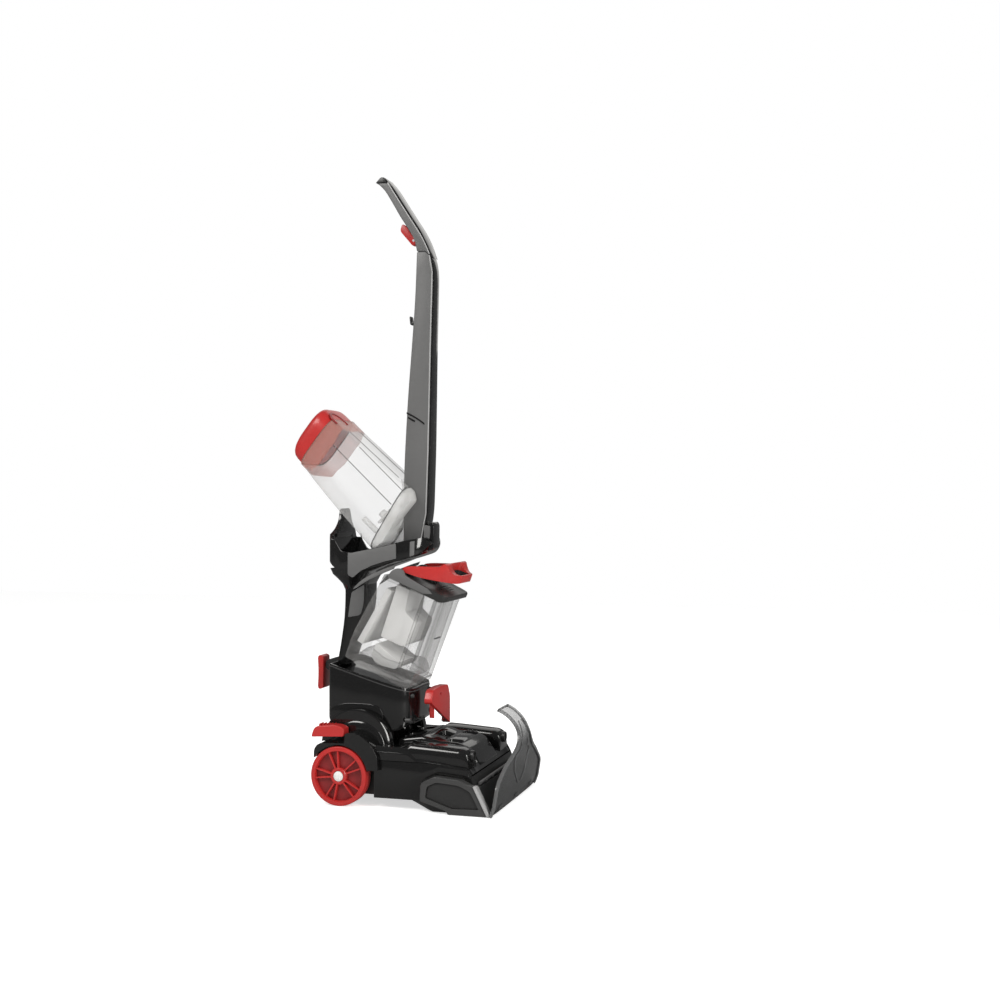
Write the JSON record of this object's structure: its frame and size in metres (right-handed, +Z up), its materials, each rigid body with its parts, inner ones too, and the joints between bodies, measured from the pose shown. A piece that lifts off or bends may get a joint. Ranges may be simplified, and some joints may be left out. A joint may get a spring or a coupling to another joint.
{
  "type": "carpet cleaner machine",
  "caption": "Upright carpet washer with a wheeled brush foot, tipped-off nozzle, tilted clean and dirty water tanks, and a bent grip mast.",
  "frame": {"origin": "centre of the bounding box at floor level", "axes": "+X forward to the nozzle, +Y the machine's left, +Z up"},
  "size_m": [0.4288, 0.284, 1.098],
  "materials": {
    "gloss_black": "gloss",
    "satin_black": "satin",
    "mid_gray": "satin",
    "red": "satin",
    "white": "matte",
    "clear": "clear",
    "smoke": "smoke",
    "steel": "brushed",
    "rubber": "matte"
  },
  "bodies": {
    "foot": {"foot_chassis": "satin_black", "foot_cover": "gloss_black", "brush_guard_right": "satin_black", "brush_guard_left": "satin_black", "front_strip": "mid_gray", "rear_axle": "steel", "brush_motor": "steel", "drive_belt": "rubber", "belt_cover": "satin_black", "brush_bearing_right": "white", "brush_bearing_left": "white", "suction_duct": "satin_black", "spray_bar": "mid_gray", "pivot_pin_right": "steel", "pivot_pin_left": "steel"},
    "right_wheel": {"wheel_right": "red", "hub_cap_right": "white"},
    "left_wheel": {"wheel_left": "red", "hub_cap_left": "white"},
    "brush": {"brush_roll": "red", "brush_pulley": "steel"},
    "motor_shaft": {"motor_pulley": "steel"},
    "power_pedal_body": {"power_pedal": "red"},
    "recline_pedal_body": {"recline_pedal": "red"},
    "latch": {"nozzle_latch": "red"},
    "nozzle": {"front_nozzle": "smoke"},
    "upright": {"motor_housing": "gloss_black", "trunnion_right": "gloss_black", "trunnion_left": "gloss_black", "housing_rear_cover": "satin_black", "suction_motor": "steel", "water_pump": "satin_black", "spine": "gloss_black", "air_duct": "satin_black", "tank_shelf": "gloss_black", "mast": "mid_gray", "mast_trim": "gloss_black", "grip_body": "mid_gray", "grip_cover": "gloss_black", "grip_end": "gloss_black", "trigger_pin": "steel", "upper_cord_hook": "gloss_black", "cord_hook_arm": "gloss_black", "valve_seat": "rubber", "housing_screw_right": "steel", "housing_screw_left": "steel"},
    "fan": {"suction_fan": "white"},
    "spray_trigger": {"trigger": "red"},
    "lower_cord_hook": {"cord_hook": "red"},
    "clean_tank": {"clean_tank_shell": "clear", "clean_tank_cap": "red", "clean_tank_base": "clear"},
    "tank_valve": {"valve_plunger": "white"},
    "dirty_tank": {"dirty_tank_shell": "smoke", "dirty_tank_pipe": "smoke", "dirty_tank_baffle": "white", "tank_lid": "gloss_black", "float_cage": "satin_black"},
    "tank_float": {"float": "white"},
    "bail_handle": {"tank_handle": "red"}
  },
  "joints": [
    {"name": "right_wheel_spin", "type": "hinge", "parent": "foot", "child": "right_wheel", "pos_m": [-0.08211, -0.117, 0.051], "axis": [0, 1, 0], "continuous": true},
    {"name": "left_wheel_spin", "type": "hinge", "parent": "foot", "child": "left_wheel", "pos_m": [-0.08211, 0.117, 0.051], "axis": [0, 1, 0], "continuous": true},
    {"name": "brush_spin", "type": "hinge", "parent": "foot", "child": "brush", "pos_m": [0.12189, 0, 0.0315], "axis": [0, 1, 0], "continuous": true},
    {"name": "motor_shaft_spin", "type": "hinge", "parent": "foot", "child": "motor_shaft", "pos_m": [0.04789, 0.105, 0.036], "axis": [0, 1, 0], "continuous": true},
    {"name": "power_pedal_press", "type": "hinge", "parent": "foot", "child": "power_pedal_body", "pos_m": [-0.07811, -0.115, 0.12], "axis": [0, -1, 0], "range_deg": [0, 5], "stiffness_Nm_per_rad": 1.2, "springref_deg": -1.15},
    {"name": "recline_pedal_press", "type": "hinge", "parent": "foot", "child": "recline_pedal_body", "pos_m": [-0.07811, 0.115, 0.12], "axis": [0, -1, 0], "range_deg": [0, 5], "stiffness_Nm_per_rad": 1.2, "springref_deg": -1.15},
    {"name": "latch_swing", "type": "hinge", "parent": "foot", "child": "latch", "pos_m": [0.04889, 0, 0.121], "axis": [0, -1, 0], "range_deg": [-78, 0]},
    {"name": "nozzle_tip", "type": "hinge", "parent": "foot", "child": "nozzle", "pos_m": [0.19439, 0, 0.0006], "axis": [0, 1, 0], "range_deg": [-38, 0]},
    {"name": "recline", "type": "hinge", "parent": "foot", "child": "upright", "pos_m": [-0.06711, 0, 0.095], "axis": [0, -1, 0], "range_deg": [0, 55]},
    {"name": "fan_spin", "type": "hinge", "parent": "upright", "child": "fan", "pos_m": [-0.05211, 0, 0.15], "axis": [0, 0, 1], "continuous": true},
    {"name": "trigger_pull", "type": "hinge", "parent": "upright", "child": "spray_trigger", "pos_m": [0.00989, 0, 0.984], "axis": [0, 1, 0], "range_deg": [0, 8], "stiffness_Nm_per_rad": 0.4, "springref_deg": -5.73},
    {"name": "cord_hook_turn", "type": "hinge", "parent": "upright", "child": "lower_cord_hook", "pos_m": [-0.15911, 0, 0.228], "axis": [1, 0, 0], "range_deg": [0, 180]},
    {"name": "clean_tank_lift", "type": "slide", "parent": "upright", "child": "clean_tank", "axis": [-0.5, 0, 0.866], "range_m": [0, 0.12]},
    {"name": "tank_valve_push", "type": "slide", "parent": "clean_tank", "child": "tank_valve", "axis": [-0.7254, 0, 0.6884], "range_m": [0, 0.004], "stiffness_N_per_m": 120, "springref_m": -0.004},
    {"name": "dirty_tank_tilt", "type": "hinge", "parent": "upright", "child": "dirty_tank", "pos_m": [0.01889, 0, 0.192], "axis": [0, 1, 0], "range_deg": [-3, 25]},
    {"name": "tank_float_rise", "type": "slide", "parent": "dirty_tank", "child": "tank_float", "axis": [0.342, 0, 0.9397], "range_m": [0, 0.03]},
    {"name": "tank_handle_swing", "type": "hinge", "parent": "dirty_tank", "child": "bail_handle", "pos_m": [0.01605, 0, 0.40055], "axis": [0, -1, 0], "range_deg": [-14, 15]}
  ],
  "couplings": [
    {"joint": "motor_shaft_spin", "follows": "brush_spin", "ratio": 2}
  ]
}
